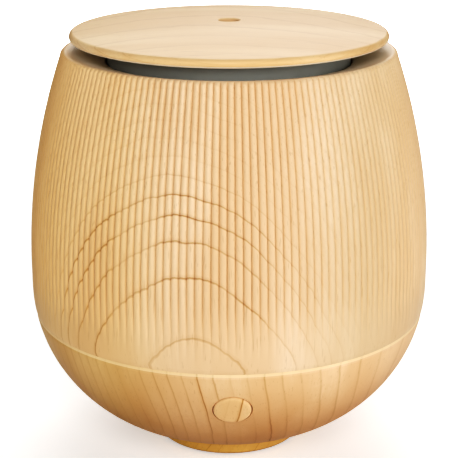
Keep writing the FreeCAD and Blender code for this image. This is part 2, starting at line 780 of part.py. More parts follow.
def make_switch():
    """Small board behind the button with its tact switch, both square to the button's axis."""
    board_thickness, half_length, half_width = 1.2, 13.0, 4.5
    back = SWITCH_BOARD_FACE - board_thickness
    slab = box("switch_slab", 2 * half_length, 2 * half_width, board_thickness,
               on_button_axis(back, -half_length, -half_width), BUTTON_OUT)
    holes, screws = [], []
    for side in (-1, 1):
        across = side * SWITCH_BOSS_OFFSET
        hole_start = on_button_axis(back - 1, across)
        holes.append(clearance(f"switch_hole_{side}", SWITCH_SCREW, 4.0, hole_start, BUTTON_OUT))
        seat = on_button_axis(back, across)
        screws.append(screw(f"switch_screw_{side}", SWITCH_SCREW, seat, BUTTON_OUT))
    keep(cut("switch_board", slab, holes), "switch_board")
    keep(group("switch_screws", screws), "switch_screws")
    side = 6.0
    corner = on_button_axis(SWITCH_BOARD_FACE, -side / 2, -side / 2)
    housing = box("switch_block", side, side, 3.5, corner, BUTTON_OUT)
    bore = cylinder("switch_bore", 1.85, 3.0, on_button_axis(SWITCH_BOARD_FACE + 1.5), BUTTON_OUT)
    keep(cut("tact_switch", housing, [bore]), "tact_switch")


def make_leads():
    """Wires from the board sockets to the fan, the transducer, the switch and the power jack."""
    top = d.board_level + d.board_thickness
    socket_face = d.board_front + 0.5
    socket_level = top + 1.3
    fan_face = d.fan_side / 2 + 0.25
    keep(lead("fan_lead", [
        (-10, fan_face, d.fan_level + 4),
        (-10, fan_face + 2.3, d.fan_level + 4.4),
        (-12, fan_face + 1.8, socket_level - 0.6),
        (-12, socket_face, socket_level),
    ], 0.7), "fan_lead")
    keep(lead("transducer_lead", [
        (0, 2, d.disc_level - 0.2),
        (0, 3, d.clamp_level - 1.6),
        (0, 11, d.clamp_level - 1.7),
        (0, socket_face, socket_level),
    ], 0.6), "transducer_lead")
    switch_edge = SWITCH_BOARD_FACE - 0.6
    keep(lead("switch_lead", [
        on_button_axis(switch_edge, 6.5, -4.65),
        on_button_axis(switch_edge, 6.5, -9.5),
        (14, -36, d.board_level),
        (25, -12, d.board_level - 2),
        (26, 8, d.board_level - 1.4),
        (20, 16.5, d.board_level - 0.9),
        (12, 17.0, socket_level - 0.4),
        (12, socket_face, socket_level),
    ], 0.7), "switch_lead")
    board_back = d.board_front + d.board_width + 0.15
    jack_back = d.jack_boss_back - 5
    keep(lead("power_lead", [
        (0, jack_back, d.jack_level - d.jack_barrel - 0.15),
        (0.5, jack_back, top + 1),
        (7, jack_back - 3.5, top - 0.8),
        (7, board_back, top - 0.8),
    ], 0.7), "power_lead")


# ---------------------------------------------------------------- fan


def make_fan_frame():
    """Square fan housing with its struts, sleeve bearing, coil and screws."""
    strut, tube_radius, bearing_radius = 1.2, 3.2, 2.1
    side = d.fan_side
    level = d.fan_level
    bearing_bore = d.shaft_radius + 0.05
    block = box("fan_block", side, side, d.fan_depth, (-side / 2, -side / 2, level))
    hollow = cut("fan_hollow", block, [cylinder("fan_tunnel", d.fan_bore, 20.0, (0, 0, level - 5))])
    hub = cylinder("fan_hub_disc", 6.4, strut, (0, 0, level))
    tube = cylinder("fan_hub_tube", tube_radius, 6.1, (0, 0, level))
    bars = [
        box(f"fan_strut_{turn}", side / 2 - 0.6, 1.6, strut, (0, 0, level), Rotation(Vector(0, 0, 1), turn))
        for turn in (10, 130, 250)
    ]
    blank = joined("fan_frame_blank", [hollow, hub, tube, *bars])
    tools = [cylinder("bearing_seat", bearing_radius, 12.0, (0, 0, level + 0.5))]
    screws = []
    for x_side in (-1, 1):
        for y_side in (-1, 1):
            x, y = d.fan_screw_offset * x_side, d.fan_screw_offset * y_side
            tag = f"{x_side}_{y_side}"
            tools.append(clearance(f"fan_hole_{tag}", FAN_SCREW, 12.0, (x, y, level - 1)))
            screws.append(screw(f"fan_screw_{tag}", FAN_SCREW, (x, y, level + d.fan_depth), DOWN))
    keep(cut("fan_frame", blank, tools), "fan_frame")
    keep(group("fan_screws", screws), "fan_screws")
    keep(turned("fan_bearing", [
        (bearing_bore, level + 0.5),
        (bearing_radius, level + 0.5),
        (bearing_radius, level + 5.9),
        (bearing_bore, level + 5.9),
    ]), "fan_bearing")
    keep(turned("fan_coil", [
        (tube_radius + 0.1, level + 1.6),
        (5.3, level + 1.6),
        (5.3, level + 5.6),
        (tube_radius + 0.1, level + 5.6),
    ]), "fan_coil")


def make_fan_rotor():
    """Cup-shaped hub with pitched blades, pressed on its shaft."""
    low, high = d.fan_level + 1.6, d.fan_level + 7.6
    hub = turned("rotor_hub", [
        (d.shaft_radius, high - 1.2),
        (d.fan_hub_radius - 0.8, high - 1.2),
        (d.fan_hub_radius - 0.8, low),
        (d.fan_hub_radius, low),
        (d.fan_hub_radius, high - 0.6),
        (d.fan_hub_radius - 0.6, high),
        (d.shaft_radius, high),
    ])
    blade_count, blade_pitch, blade_thickness, blade_chord = 7, 48, 0.8, 6.4
    root_radius, tip_radius = d.fan_hub_radius - 2.6, d.fan_bore - 0.7
    middle = (low + high) / 2
    blades = []
    for index in range(blade_count):
        spin = Rotation(Vector(0, 0, 1), 360 / blade_count * (index + 0.5))
        tilt = spin * Rotation(Vector(1, 0, 0), blade_pitch)
        corner = tilt.multVec(Vector(root_radius.value, -blade_thickness / 2, -blade_chord / 2))
        blades.append(box(f"blade_{index}", tip_radius - root_radius, blade_thickness, blade_chord,
                          (corner.x, corner.y, middle + corner.z), tilt))
    core = cylinder("blade_core", d.fan_hub_radius - 0.4, 20.0, (0, 0, d.fan_level - 5))
    trimmed = cut("blades_outside_hub", joined("blade_star", blades), [core])
    keep(joined("fan_rotor", [hub, trimmed]), "fan_rotor")
    keep(cylinder("fan_shaft", d.shaft_radius, 6.8, (0, 0, d.fan_level + 0.8)), "fan_shaft")


# ---------------------------------------------------------------- button


def make_button(blank):
    """Flush round cap with a retaining flange and a stem, and the switch plunger it presses."""
    start = on_button_axis(BUTTON_FLANGE_BACK)
    rod = cylinder("cap_rod", d.button_radius, 12.0, start, BUTTON_OUT)
    face = doc.addObject("Part::Common", "cap_face")
    face.Base = blank
    face.Tool = rod
    flange = cylinder("cap_flange", d.button_radius + BUTTON_FLANGE, 1.1, start, BUTTON_OUT)
    stem_back = BUTTON_FLANGE_BACK - 1.5
    stem = cylinder("cap_stem", 2.0, 1.6, on_button_axis(stem_back), BUTTON_OUT)
    keep(joined("button_cap", [face, flange, stem]), "button_cap")
    plunger = cylinder("switch_plunger", 1.6, 2.0, on_button_axis(stem_back - 2.0), BUTTON_OUT)
    keep(plunger, "switch_plunger")


# ---------------------------------------------------------------- cover


def make_ribbed_shell():
    """The wooden cover: bowl arc, straight belly, shoulder arc, rounded rim and dished top."""
    foot = d.seam_level + d.body_gap
    foot_chamfer_top = foot + 2.0
    rim_start = d.rim_level - d.rim_round
    dish_edge = shoulder_radius(rim_start) - d.rim_round * 1.15
    inner_arc = d.bowl_arc - d.wall
    inner_shoulder = d.shoulder_arc - d.wall
    inner_top = d.mouth_underside + 1.5
    belly_inside = d.belly_radius - d.wall
    plate_underside = d.mouth_underside + 2.8
    shell = turned("shell_turned", [
        (bowl_radius(foot, d.wall), foot),
        (bowl_radius(foot) - 0.45, foot),
        (bowl_radius(foot_chamfer_top), foot_chamfer_top, d.bowl_arc),
        (d.belly_radius, d.bowl_arc_level),
        (d.belly_radius, d.shoulder_level, d.shoulder_arc),
        (shoulder_radius(rim_start), rim_start, d.rim_round),
        (dish_edge, d.rim_level),
        (dish_edge - 1.8, d.rim_level - 0.4),
        (d.mouth_radius + 0.8, d.mouth_level + 0.7),
        (d.mouth_radius, d.mouth_level),
        (d.mouth_radius, d.mouth_underside),
        (d.mouth_radius + 3.0, d.mouth_underside),
        (d.mouth_radius + 3.0, plate_underside),
        (shoulder_radius(inner_top, d.wall) - 2.0, plate_underside + 0.4),
        (shoulder_radius(inner_top, d.wall), inner_top, -inner_shoulder),
        (belly_inside, d.shoulder_level),
        (belly_inside, d.bowl_arc_level, -inner_arc),
    ])
    bosses, holes = [], []
    for angle in LINER_ANGLES:
        x, y = polar(d.liner_screw_circle, angle)
        bosses.append(cylinder(f"liner_boss_{angle}", 2.4, 4.0, (x, y, d.mouth_underside - 0.1)))
        holes.append(pilot(f"liner_pilot_{angle}", LINER_SCREW, 5.0, (x, y, d.mouth_underside - 1)))
    keep(cut("ribbed_shell", joined("shell_blank", [shell, *bosses]), holes), "ribbed_shell")


def make_mist_liner():
    """Funnel inside the cover that leads mist to the mouth and drops back into the tank."""
    flange_top = d.mouth_underside - 0.2
    flange_under = flange_top - 1.9
    tube_top = d.liner_foot + 6.0
    lip = d.collar_radius - d.collar_wall
    funnel = turned("liner_turned", [
        (d.liner_radius - 1.5, d.liner_foot),
        (d.liner_radius, d.liner_foot),
        (d.liner_radius, tube_top),
        (lip + 2.4, flange_under),
        (d.liner_flange, flange_under),
        (d.liner_flange, flange_top),
        (lip, flange_top),
        (lip, flange_under),
        (d.liner_radius - 1.5, tube_top),
    ])
    holes, screws = [], []
    for angle in LINER_ANGLES:
        x, y = polar(d.liner_screw_circle, angle)
        holes.append(clearance(f"liner_hole_{angle}", LINER_SCREW, 4.0, (x, y, flange_under - 1)))
        screws.append(screw(f"liner_screw_{angle}", LINER_SCREW, (x, y, flange_under)))
    keep(cut("mist_liner", funnel, holes), "mist_liner")
    keep(group("liner_screws", screws), "liner_screws")


# ---------------------------------------------------------------- lid


def crown_level(radius):
    """Level of the lid's crowned top at a radius."""
    radius = size(radius)
    return d.lid_top - d.lid_crown + root(d.lid_crown * d.lid_crown - radius * radius)


def make_lid():
    """Crowned wooden disc with its vent, the dark collar under it, seal, mist funnel and screws."""
    nose = d.lid_edge / 2
    crown_edge = d.lid_radius - nose
    vent_round = 0.6
    vent_lip = d.vent_radius + vent_round
    screws, pilots, holes = [], [], []
    plate_under = d.lid_underside - 2.1
    for angle in LID_SCREW_ANGLES:
        x, y = polar(d.lid_screw_circle, angle)
        pilots.append(pilot(f"lid_pilot_{angle}", LID_SCREW, 4.0, (x, y, d.lid_underside - 1)))
        holes.append(clearance(f"collar_hole_{angle}", LID_SCREW, 5.0, (x, y, plate_under - 1)))
        screws.append(screw(f"lid_screw_{angle}", LID_SCREW, (x, y, plate_under)))
    disc = turned("lid_turned", [
        (d.vent_radius, d.lid_underside),
        (crown_edge, d.lid_underside, nose),
        (d.lid_radius, d.lid_underside + nose, nose),
        (crown_edge, crown_level(crown_edge), d.lid_crown),
        (vent_lip, crown_level(vent_lip), vent_round),
        (d.vent_radius, crown_level(vent_lip) - vent_round),
    ])
    keep(cut("lid_disc", disc, pilots), "lid_disc")

    plate_top = d.lid_underside - 0.1
    inner = d.collar_radius - d.collar_wall
    groove_low, groove_high = d.collar_foot + 2.9, d.collar_foot + 4.9
    groove_radius = d.collar_radius - 0.8
    spout = d.vent_radius + 1.7
    collar = turned("collar_turned", [
        (spout, plate_under),
        (inner, plate_under),
        (inner, d.collar_foot),
        (d.collar_radius, d.collar_foot),
        (d.collar_radius, groove_low),
        (groove_radius, groove_low),
        (groove_radius, groove_high),
        (d.collar_radius, groove_high),
        (d.collar_radius, plate_top),
        (spout, plate_top),
    ])
    keep(cut("lid_collar", collar, holes), "lid_collar")
    keep(turned("lid_seal", [
        (groove_radius, groove_low),
        (d.collar_radius + 0.15, groove_low),
        (d.collar_radius + 0.15, groove_high),
        (groove_radius, groove_high),
    ]), "lid_seal")
    keep(turned("mist_funnel", [
        (inner - 3.7, d.collar_foot + 0.4),
        (inner - 2.2, d.collar_foot + 0.4),
        (spout - 0.2, plate_under - 0.1),
        (spout - 0.2, plate_top),
        (d.vent_radius, plate_top),
        (d.vent_radius, plate_under - 0.8),
    ]), "mist_funnel")
    keep(group("lid_screws", screws), "lid_screws")


# ---------------------------------------------------------------- whole object


def check_document():
    """Stop if any object failed or any sub-part has no valid shape."""
    for obj in doc.Objects:
        if {"Invalid", "Error"} & set(obj.State):
            raise RuntimeError(f"{obj.Label} did not recompute: {obj.State}")
    for obj in nodes:
        if obj.Shape.isNull() or not obj.Shape.isValid():
            raise RuntimeError(f"{obj.Label} has no valid shape")


def export_parts():
    """Write each sub-part to its own STEP file."""
    os.makedirs("parts", exist_ok=True)
    for obj in nodes:
        obj.Shape.exportStep(f"parts/{obj.Label}.step")
        bounds = obj.Shape.BoundBox
        print(f"{obj.Label:20s} solids {len(obj.Shape.Solids)} volume {obj.Shape.Volume:10.1f} "
              f"z {bounds.ZMin:7.2f} to {bounds.ZMax:7.2f}")


bowl_blank = make_bowl_blank()
make_base_bowl(bowl_blank)
make_foot()
make_chassis()
make_water_tank()
make_tank_fittings()
make_transducer()
make_electronics()
make_power_inlet()
make_switch()
make_leads()
make_fan_frame()
make_fan_rotor()
make_button(bowl_blank)
make_ribbed_shell()
make_mist_liner()
make_lid()
doc.recompute()
check_document()
export_parts()
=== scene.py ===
import json
import math

import bmesh
import bpy
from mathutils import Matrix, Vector


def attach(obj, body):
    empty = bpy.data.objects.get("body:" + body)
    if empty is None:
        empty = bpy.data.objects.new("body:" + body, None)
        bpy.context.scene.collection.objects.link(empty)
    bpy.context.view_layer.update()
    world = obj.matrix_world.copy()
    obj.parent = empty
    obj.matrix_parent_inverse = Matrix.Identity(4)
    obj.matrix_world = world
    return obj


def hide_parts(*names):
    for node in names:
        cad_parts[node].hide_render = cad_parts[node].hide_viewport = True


# Looks of the essential oil diffuser: solid light wood with a reeded cover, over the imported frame.
# Blender works in metres.  Sizes below are millimetres, turned to metres by MM.

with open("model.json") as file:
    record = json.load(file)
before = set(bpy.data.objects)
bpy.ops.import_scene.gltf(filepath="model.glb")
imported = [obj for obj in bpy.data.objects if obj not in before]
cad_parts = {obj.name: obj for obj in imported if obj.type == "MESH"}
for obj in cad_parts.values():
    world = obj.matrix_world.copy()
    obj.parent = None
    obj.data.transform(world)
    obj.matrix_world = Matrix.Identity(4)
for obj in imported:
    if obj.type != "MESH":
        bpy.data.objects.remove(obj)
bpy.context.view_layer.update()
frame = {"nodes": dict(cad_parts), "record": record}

MM = 0.001

# Outer form: bowl arc, straight belly and shoulder arc as in the design, and a slightly crisper rim.
BELLY_RADIUS = 65.0
BOWL_ARC = 50.0
BOWL_ARC_LEVEL = 55.4
SHOULDER_ARC = 206.0
SHOULDER_LEVEL = 61.8
WALL = 3.4
SEAM_LEVEL = 46.3
COVER_FOOT = 46.42
RIM_LEVEL = 131.45
RIM_ROUND = 1.6

# Mouth of the cover: the wall the lid's collar slides in, with a step under it for the mist liner.
MOUTH_RADIUS = 39.15
MOUTH_FOOT = 121.5
STEP_RADIUS = 42.15
STEP_TOP = 124.3

# Reeds: convex half-round ribs all round the cover.
REED_COUNT = 170
REED_STEPS = 8
REED_DEPTH = 0.72
REED_IN_GRAIN = 0.15
REED_FULLNESS = 0.90
REED_PHASE = math.radians(-1.46)
REED_FADE_LOW = 47.5
REED_FADE_HIGH = 71.0
REED_TOP = 131.9
REED_TOP_SOFTNESS = 1.2

# Button, on an axis from the bowl arc's centre out through the front of the bowl.
# Its flange and stem are given by their distance from that centre.
BUTTON_LEVEL = 32.95
BUTTON_RADIUS = 5.76
BUTTON_PROUD = 0.6
BUTTON_SEGMENTS = 96
FLANGE_RADIUS = 6.7
FLANGE_FRONT = 45.5
FLANGE_BACK = 44.4
STEM_RADIUS = 2.0
STEM_BACK = 42.9


def smoothstep(low, high, value):
    """0 below low, 1 above high, eased between."""
    part = min(max((value - low) / (high - low), 0.0), 1.0)
    return part * part * (3 - 2 * part)


# ---------------------------------------------------------------- outer form


def outer_radius(level, inset=0.0):
    """Radius of the outer form, or of a surface inset from it, at a level."""
    if level > SHOULDER_LEVEL:
        arc = SHOULDER_ARC - inset
        return BELLY_RADIUS - SHOULDER_ARC + math.sqrt(arc ** 2 - (level - SHOULDER_LEVEL) ** 2)
    if level > BOWL_ARC_LEVEL:
        return BELLY_RADIUS - inset
    arc = BOWL_ARC - inset
    return BELLY_RADIUS - BOWL_ARC + math.sqrt(arc ** 2 - (level - BOWL_ARC_LEVEL) ** 2)


def steps(start, end, count):
    """Evenly spaced values from start to end, both included."""
    return [start + (end - start) * index / count for index in range(count + 1)]


def arc_points(centre, radius, start, end, count):
    """Points on an arc between two angles in degrees."""
    angles = [math.radians(angle) for angle in steps(start, end, count)]
    return [(centre[0] + radius * math.cos(a), centre[1] + radius * math.sin(a)) for a in angles]


# ---------------------------------------------------------------- meshes


def finish_mesh(name, mesh_data, grain=None, valley=None, sharp_angle=None):
    """A smooth-shaded object from a bmesh, with the wood's own coordinates and valley depth on it."""
    bmesh.ops.recalc_face_normals(mesh_data, faces=mesh_data.faces)
    mesh = bpy.data.meshes.new(name)
    mesh_data.to_mesh(mesh)
    mesh_data.free()
    mesh.polygons.foreach_set("use_smooth", [True] * len(mesh.polygons))
    if sharp_angle is not None:
        mesh.set_sharp_from_angle(angle=math.radians(sharp_angle))
    if grain is not None:
        layer = mesh.attributes.new("grain", "FLOAT_VECTOR", "POINT")
        layer.data.foreach_set("vector", [number for point in grain for number in point])
    if valley is not None:
        mesh.attributes.new("valley", "FLOAT", "POINT").data.foreach_set("value", valley)
    obj = bpy.data.objects.new(name, mesh)
    bpy.context.scene.collection.objects.link(obj)
    return obj


def reed_height(across):
    """Height of a half-round reed, 0 in the valley and 1 on the crest, for across from -1 to 1."""
    edge = math.sqrt(1 - REED_FULLNESS ** 2)
    return (math.sqrt(1 - (REED_FULLNESS * across) ** 2) - edge) / (1 - edge)


def reed_depth_at(level):
    """Depth of the valleys at a level: full under the rim, fading out above the seam."""
    rise = smoothstep(REED_FADE_LOW, REED_FADE_HIGH, level)
    top = 1 - smoothstep(REED_TOP - REED_TOP_SOFTNESS, REED_TOP, level)
    return REED_DEPTH * rise * top


def cover_profile():
    """(radius, level, reeded) round the cover's section: up the outside from its foot, and down inside."""
    foot_radius = outer_radius(COVER_FOOT)
    profile = [(foot_radius - 0.22, COVER_FOOT, False), (foot_radius - 0.05, COVER_FOOT + 0.3, False)]
    profile += [(outer_radius(z), z, True) for z in (48.0, 49.5, 51.0)]
    profile += [(outer_radius(z), z, True) for z in steps(52.5, 126.0, 42)]
    profile += [(outer_radius(z), z, True) for z in (127.0, 128.2, 129.2)]
    rim_start = RIM_LEVEL - RIM_ROUND
    rim_radius = outer_radius(rim_start)
    centre = (rim_radius - RIM_ROUND * 0.97, rim_start - 0.1)
    profile += [(r, z, True) for r, z in arc_points(centre, RIM_ROUND, 6, 108, 17)]
    dish_edge = profile[-1][0]
    profile += [
        (dish_edge - 1.0, RIM_LEVEL - 0.35, False),
        (dish_edge - 2.6, RIM_LEVEL - 0.65, False),
        (dish_edge - 5.0, RIM_LEVEL - 1.2, False),
        (MOUTH_RADIUS + 3.65, 129.3, False),
        (MOUTH_RADIUS + 0.85, 128.1, False),
        (MOUTH_RADIUS + 0.2, 127.8, False),
        (MOUTH_RADIUS, 127.2, False),
        (MOUTH_RADIUS, MOUTH_FOOT, False),
        (STEP_RADIUS, MOUTH_FOOT, False),
        (STEP_RADIUS, STEP_TOP, False),
        (50.0, STEP_TOP + 0.4, False),
    ]
    profile += [(outer_radius(z, WALL), z, False) for z in steps(123.0, 64.0, 14)]
    profile += [(outer_radius(z, WALL), z, False) for z in (58.6, 52.0, COVER_FOOT)]
    return profile


def make_cover():
    """The reeded cover, turned with its reeds cut in the mesh."""
    profile = cover_profile()
    columns = REED_COUNT * REED_STEPS
    heights = [reed_height(2 * step / REED_STEPS - 1) for step in range(REED_STEPS)]
    angles = [REED_PHASE + 2 * math.pi * column / columns for column in range(columns)]
    mesh_data = bmesh.new()
    grain, valley, rings = [], [], []
    for radius, level, reeded in profile:
        depth = reed_depth_at(level) if reeded else 0.0
        ring = []
        for column, angle in enumerate(angles):
            cut = radius - depth * (1 - heights[column % REED_STEPS])
            sine, cosine = math.sin(angle), -math.cos(angle)
            ring.append(mesh_data.verts.new((cut * sine * MM, cut * cosine * MM, level * MM)))
            ringed = radius - REED_IN_GRAIN * (radius - cut)
            grain.append((ringed * sine * MM, ringed * cosine * MM, level * MM))
            valley.append((radius - cut) / REED_DEPTH)
        rings.append(ring)
    for ring, above in zip(rings, rings[1:] + rings[:1]):
        for column in range(columns):
            after = (column + 1) % columns
            mesh_data.faces.new((ring[column], ring[after], above[after], above[column]))
    return finish_mesh("reeded_cover", mesh_data, grain, valley, sharp_angle=38)


def bowl_surface_distance(outward, upward, centre, across, up):
    """Distance from the arc's centre, along the button's axis, to the bowl's outer surface."""
    low, high = BOWL_ARC * 0.8, BOWL_ARC * 1.1
    for _ in range(30):
        middle = (low + high) / 2
        point = centre + outward * middle + upward * up + Vector((across, 0, 0))
        inside = math.hypot(point.x, point.y) < outer_radius(point.z)
        low, high = (middle, high) if inside else (low, middle)
    return low


def make_button():
    """Round wooden cap that follows the bowl's curve, with a soft edge, its hidden flange and stem."""
    lean = math.asin((BOWL_ARC_LEVEL - BUTTON_LEVEL) / BOWL_ARC)
    outward = Vector((0, -math.cos(lean), -math.sin(lean)))
    upward = Vector((0, -math.sin(lean), math.cos(lean)))
    centre = Vector((0, BOWL_ARC - BELLY_RADIUS, BOWL_ARC_LEVEL))
    rounding = [(-0.95, 0.0), (-0.6, -0.05), (-0.3, -0.18), (-0.1, -0.36), (0.0, -0.65)]
    flush = [(1.5, 0.0), (3.0, 0.0), (4.3, 0.0)]
    flush += [(BUTTON_RADIUS + back, level) for back, level in rounding]
    behind = [
        (BUTTON_RADIUS, FLANGE_FRONT),
        (FLANGE_RADIUS, FLANGE_FRONT),
        (FLANGE_RADIUS, FLANGE_BACK),
        (STEM_RADIUS, FLANGE_BACK),
        (STEM_RADIUS, STEM_BACK),
    ]
    mesh_data = bmesh.new()
    rings = []
    for radius, level in flush + behind:
        ring = []
        for index in range(BUTTON_SEGMENTS):
            angle = 2 * math.pi * index / BUTTON_SEGMENTS
            across, up = radius * math.cos(angle), radius * math.sin(angle)
            distance = level
            if (radius, level) in flush:
                surface = bowl_surface_distance(outward, upward, centre, across, up)
                distance = surface + level + BUTTON_PROUD
            point = centre + outward * distance + upward * up + Vector((across, 0, 0))
            ring.append(mesh_data.verts.new(point * MM))
        rings.append(ring)
    for ring, following in zip(rings, rings[1:]):
        for index in range(BUTTON_SEGMENTS):
            after = (index + 1) % BUTTON_SEGMENTS
            mesh_data.faces.new((ring[index], ring[after], following[after], following[index]))
    mesh_data.faces.new(rings[0])
    mesh_data.faces.new(list(reversed(rings[-1])))
    return finish_mesh("wooden_button", mesh_data, sharp_angle=50)


# ---------------------------------------------------------------- material building


class Shader:
    """Short-hand for one material's node tree."""

    def __init__(self, name):
        self.material = bpy.data.materials.new(name)
        self.material.use_nodes = True
        self.tree = self.material.node_tree
        self.surface = self.tree.nodes["Principled BSDF"]

    def feed(self, socket, value):
        """Link a socket, or set a plain value."""
        if isinstance(value, bpy.types.NodeSocket):
            self.tree.links.new(value, socket)
        else:
            socket.default_value = value

    def node(self, kind, inputs=(), **settings):
        made = self.tree.nodes.new(kind)
        for key, value in settings.items():
            setattr(made, key, value)
        for key, value in dict(inputs).items():
            self.feed(made.inputs[key], value)
        return made

    def math(self, operation, *values):
        return self.node("ShaderNodeMath", dict(enumerate(values)), operation=operation).outputs[0]

    def clamped(self, operation, *values):
        made = self.node("ShaderNodeMath", dict(enumerate(values)), operation=operation, use_clamp=True)
        return made.outputs[0]

    def vector(self, operation, *values):
        made = self.node("ShaderNodeVectorMath", dict(enumerate(values)), operation=operation)
        return made.outputs["Value" if operation in ("DOT_PRODUCT", "LENGTH") else "Vector"]

    def noise(self, position, stretch=(1, 1, 1), scale=1.0, detail=2.0, roughness=0.5):
        scaled = self.vector("MULTIPLY", position, stretch)
        inputs = {"Vector": scaled, "Scale": scale, "Detail": detail, "Roughness": roughness}
        return self.node("ShaderNodeTexNoise", inputs)

    def ramp(self, value, stops, smooth=True):
        """Colour ramp through (position, grey or colour) stops."""
        made = self.node("ShaderNodeValToRGB", {"Fac": value})
        ramp = made.color_ramp
        ramp.interpolation = "EASE" if smooth else "LINEAR"
        while len(ramp.elements) < len(stops):
            ramp.elements.new(0.5)
        for element, (position, colour) in zip(ramp.elements, stops):
            element.position = position
            element.color = (*colour, 1) if isinstance(colour, tuple) else (colour, colour, colour, 1)
        return made.outputs["Color"]

    def mix(self, factor, first, second, blend="MIX"):
        made = self.node("ShaderNodeMix", data_type="RGBA", blend_type=blend)
        sockets = [made.inputs[0], made.inputs[6], made.inputs[7]]
        for socket, value in zip(sockets, (factor, first, second)):
            self.feed(socket, (*value, 1) if isinstance(value, tuple) else value)
        return made.outputs[2]

    def bump(self, height, distance, strength):
        inputs = {"Height": height, "Distance": distance, "Strength": strength}
        return self.node("ShaderNodeBump", inputs).outputs["Normal"]

    def position(self, attribute=None):
        """The piece's own coordinates in millimetres."""
        if attribute:
            raw = self.node("ShaderNodeAttribute", attribute_name=attribute).outputs["Vector"]
        else:
            raw = self.node("ShaderNodeTexCoord").outputs["Object"]
        return self.vector("MULTIPLY", raw, (1000, 1000, 1000))

    def finish(self, **sockets):
        for name, value in sockets.items():
            socket = self.surface.inputs[name.replace("_", " ")]
            if isinstance(value, tuple) and len(value) == 3 and socket.type == "RGBA":
                value = (*value, 1)
            self.feed(socket, value)
        return self.material


def srgb(red, green, blue):
    """An sRGB colour, 0 to 255, as linear values."""
    channels = [channel / 255 for channel in (red, green, blue)]
    return tuple(c / 12.92 if c <= 0.04045 else ((c + 0.055) / 1.055) ** 2.4 for c in channels)


# ---------------------------------------------------------------- wood

# Painted shade for surfaces that face up or down.
UP_DOWN_SHADE = (0.66, 0.54, 0.40)
DEEPER = (0.905, 0.840, 0.765)
RING_LINE = srgb(178, 125, 60)
# Painted shade for the reed valleys.
VALLEY_SHADE = (0.66, 0.63, 0.56)
PORE = srgb(150, 104, 60)
# Pale tone that paints light into the shaded dish and the vent's wall, and makes the lid's underside pale.
PAINTED_LIGHT_TONE = srgb(246, 238, 222)
# Painted highlight colour for the bowl's lip.
LIP_HIGHLIGHT = srgb(255, 232, 190)

# Levels and radii where the painted light, the pale lid underside and the lip's painted highlight begin.
DISH_LEVEL = 127.0
DISH_LIGHT_RADIUS = 48.5
RIM_OUTER = 52.5
LIP_HIGHLIGHT_LEVEL = 45.4
LID_UNDERSIDE = 135.0
VENT_RADIUS = 3.6

# Where the rings draw apart: this far past the first ring, and for this many millimetres.
EVEN_RINGS = 3.9
WIDENING_RINGS = 10.6


def ring_phase(s, reach, first_ring, spacing, widening):
    """Growth-ring number at a distance from the pith, and rings for each millimetre there.

    With widening the rings draw apart over a stretch, and are even again beyond it.
    """
    rings = s.math("DIVIDE", s.math("SUBTRACT", reach, first_ring), spacing)
    if not widening:
        return rings, 1 / spacing
    reached = s.math("MAXIMUM", s.math("SUBTRACT", reach, first_ring + EVEN_RINGS), 0.0)
    late = s.math("MINIMUM", reached, WIDENING_RINGS)
    beyond = s.math("SUBTRACT", reached, late)
    slower = s.math("MULTIPLY", s.math("MULTIPLY", late, late), widening)
    slowest = s.math("MULTIPLY", beyond, 2 * WIDENING_RINGS * widening)
    rings = s.math("SUBTRACT", rings, s.math("ADD", slower, slowest))
    return rings, s.math("MULTIPLY_ADD", late, -2 * widening, 1 / spacing)


def ring_strength(s, rings, strengths):
    """How clearly each growth ring shows, from (ring, strength) pairs."""
    first, last = strengths[0][0], strengths[-1][0]
    place = s.math("DIVIDE", s.math("SUBTRACT", rings, first), last - first)
    stops = [((ring - first) / (last - first), strength) for ring, strength in strengths]
    return s.ramp(place, stops, smooth=False)


